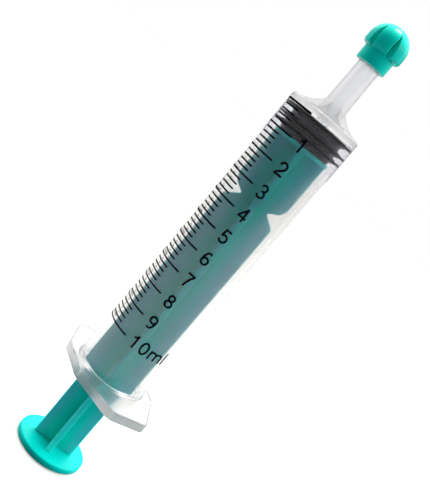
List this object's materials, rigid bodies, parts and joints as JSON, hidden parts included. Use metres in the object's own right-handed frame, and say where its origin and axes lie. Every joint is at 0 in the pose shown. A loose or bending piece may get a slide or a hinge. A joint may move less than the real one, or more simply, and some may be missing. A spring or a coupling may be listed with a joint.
{
  "type": "oral syringe",
  "caption": "Clear graduated syringe for dosing liquid medicine by mouth, with a finned plunger rod, rubber stopper, finger flange and a push-on tip cap over its narrow nozzle.",
  "frame": {"origin": "centre of the thumb rest's rear face, which is the middle of the bottom of the whole object", "axes": "+Z along the syringe from the thumb rest to the nozzle, -Y towards the side that carries the numbers of the scale"},
  "size_m": [0.0258, 0.0312, 0.118],
  "materials": {
    "clear_plastic": "clear polypropylene, smooth, slightly milky",
    "teal_plastic": "moulded polypropylene, satin gloss",
    "black_rubber": "smooth dark rubber with a thin film of silicone oil",
    "black_ink": "flat screen-printed ink"
  },
  "bodies": {
    "barrel": {"barrel": "clear_plastic", "scale_lines": "black_ink"},
    "stopper": {"stopper": "black_rubber"},
    "plunger": {"plunger_rod": "teal_plastic"},
    "cap": {"tip_cap": "teal_plastic"}
  },
  "joints": [
    {"name": "plunger_slide", "type": "slide", "parent": "barrel", "child": "stopper", "axis": [0, 0, -1], "range_m": [0, 0.0645]},
    {"name": "rod_spin", "type": "hinge", "parent": "stopper", "child": "plunger", "pos_m": [0, 0, 0.0888], "axis": [0, 0, 1], "continuous": true},
    {"name": "cap_pull", "type": "slide", "parent": "barrel", "child": "cap", "axis": [0, 0, 1], "range_m": [0, 0.03]}
  ]
}
